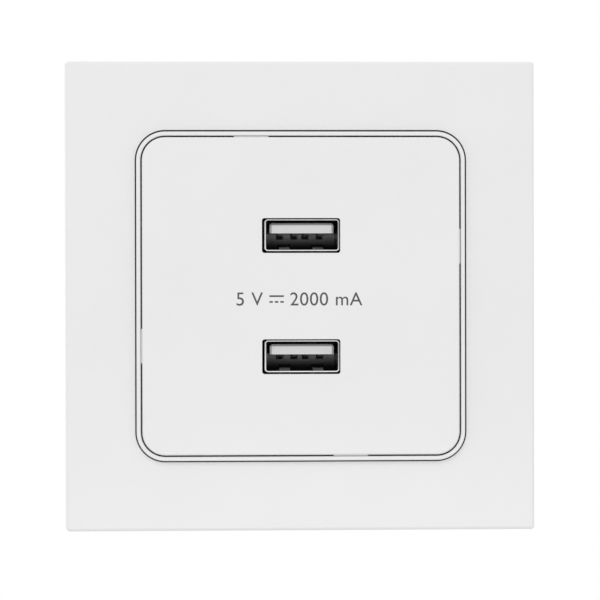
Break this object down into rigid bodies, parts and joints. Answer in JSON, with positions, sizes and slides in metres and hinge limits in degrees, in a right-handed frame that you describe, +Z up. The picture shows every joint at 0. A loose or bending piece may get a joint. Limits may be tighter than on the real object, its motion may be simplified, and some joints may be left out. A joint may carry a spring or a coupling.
{
  "type": "usb wall socket",
  "caption": "Flush wall socket: square white cover frame around a rounded centre plate with type A charging ports, steel bracket, spreader claws and charger module behind.",
  "frame": {"origin": "centre of the four box-screw slots, on the wall plane (rear face of the steel bracket)", "axes": "+Z up, -Y out of the wall into the room (the face looks along -Y), +X to the right for someone facing the socket"},
  "size_m": [0.082, 0.0342, 0.082],
  "materials": {
    "white_gloss": "polished moulding",
    "zinc_steel": "zinc plated sheet",
    "screw_steel": "zinc plated, turned",
    "housing_plastic": "fine grain",
    "port_steel": "nickel plated sheet",
    "insulator_white": "smooth",
    "contact_nickel": "nickel flash",
    "board_green": "dark solder mask",
    "tinned_pin": "tinned",
    "clamp_brass": "bright",
    "ferrite": "sintered",
    "winding_tape": "film tape",
    "capacitor_sleeve": "shrink sleeve",
    "disc_blue": "dipped coat",
    "fuse_body": "coated",
    "chip_black": "moulded"
  },
  "bodies": {
    "socket": {"outer_frame": "white_gloss", "carrier_ring": "white_gloss", "cover_plate": "white_gloss", "mounting_bracket": "zinc_steel", "module_screws": "screw_steel", "module_front_shell": "housing_plastic", "module_rear_shell": "housing_plastic", "usb_shell_upper": "port_steel", "usb_shell_lower": "port_steel", "usb_insulator_upper": "insulator_white", "usb_insulator_lower": "insulator_white", "usb_contacts_upper": "contact_nickel", "usb_contacts_lower": "contact_nickel", "port_board": "board_green", "main_board": "board_green", "board_link_pins": "tinned_pin", "terminal_tab_live": "tinned_pin", "terminal_tab_neutral": "tinned_pin", "transformer_core": "ferrite", "line_choke": "ferrite", "transformer_coil": "winding_tape", "input_capacitor": "capacitor_sleeve", "output_capacitors": "capacitor_sleeve", "safety_capacitor": "disc_blue", "fuse": "fuse_body", "bridge_rectifier": "chip_black", "controller_chip": "chip_black", "charge_chip": "chip_black"},
    "claw_right": {"claw_right": "zinc_steel"},
    "claw_screw_right": {"claw_screw_right": "screw_steel"},
    "claw_left": {"claw_left": "zinc_steel"},
    "claw_screw_left": {"claw_screw_left": "screw_steel"},
    "terminal_cage_live": {"terminal_cage_live": "clamp_brass"},
    "terminal_screw_live": {"terminal_screw_live": "screw_steel"},
    "terminal_cage_neutral": {"terminal_cage_neutral": "clamp_brass"},
    "terminal_screw_neutral": {"terminal_screw_neutral": "screw_steel"}
  },
  "joints": [
    {"name": "claw_right_swing", "type": "hinge", "parent": "socket", "child": "claw_right", "pos_m": [0.0262, 0.0017, 0.0085], "axis": [0, 0, -1], "range_deg": [0, 20]},
    {"name": "claw_screw_right_drive", "type": "slide", "parent": "socket", "child": "claw_screw_right", "axis": [0, 1, 0], "range_m": [0, 0.0008]},
    {"name": "claw_left_swing", "type": "hinge", "parent": "socket", "child": "claw_left", "pos_m": [-0.0262, 0.0017, -0.0085], "axis": [0, 0, 1], "range_deg": [0, 20]},
    {"name": "claw_screw_left_drive", "type": "slide", "parent": "socket", "child": "claw_screw_left", "axis": [0, 1, 0], "range_m": [0, 0.0008]},
    {"name": "terminal_screw_live_turn", "type": "hinge", "parent": "socket", "child": "terminal_screw_live", "pos_m": [-0.009, 0.01635, 0.0185], "axis": [0, 0, -1], "range_deg": [0, 1728]},
    {"name": "terminal_cage_live_rise", "type": "slide", "parent": "socket", "child": "terminal_cage_live", "axis": [0, 0, 1], "range_m": [0, 0.0024]},
    {"name": "terminal_screw_neutral_turn", "type": "hinge", "parent": "socket", "child": "terminal_screw_neutral", "pos_m": [0.009, 0.01635, 0.0185], "axis": [0, 0, -1], "range_deg": [0, 1728]},
    {"name": "terminal_cage_neutral_rise", "type": "slide", "parent": "socket", "child": "terminal_cage_neutral", "axis": [0, 0, 1], "range_m": [0, 0.0024]}
  ],
  "couplings": [
    {"joint": "claw_right_swing", "follows": "claw_screw_right_drive", "rad_per_m": 436.33},
    {"joint": "claw_left_swing", "follows": "claw_screw_left_drive", "rad_per_m": 436.33},
    {"joint": "terminal_screw_live_turn", "follows": "terminal_cage_live_rise", "rad_per_m": 12566},
    {"joint": "terminal_screw_neutral_turn", "follows": "terminal_cage_neutral_rise", "rad_per_m": 12566}
  ]
}
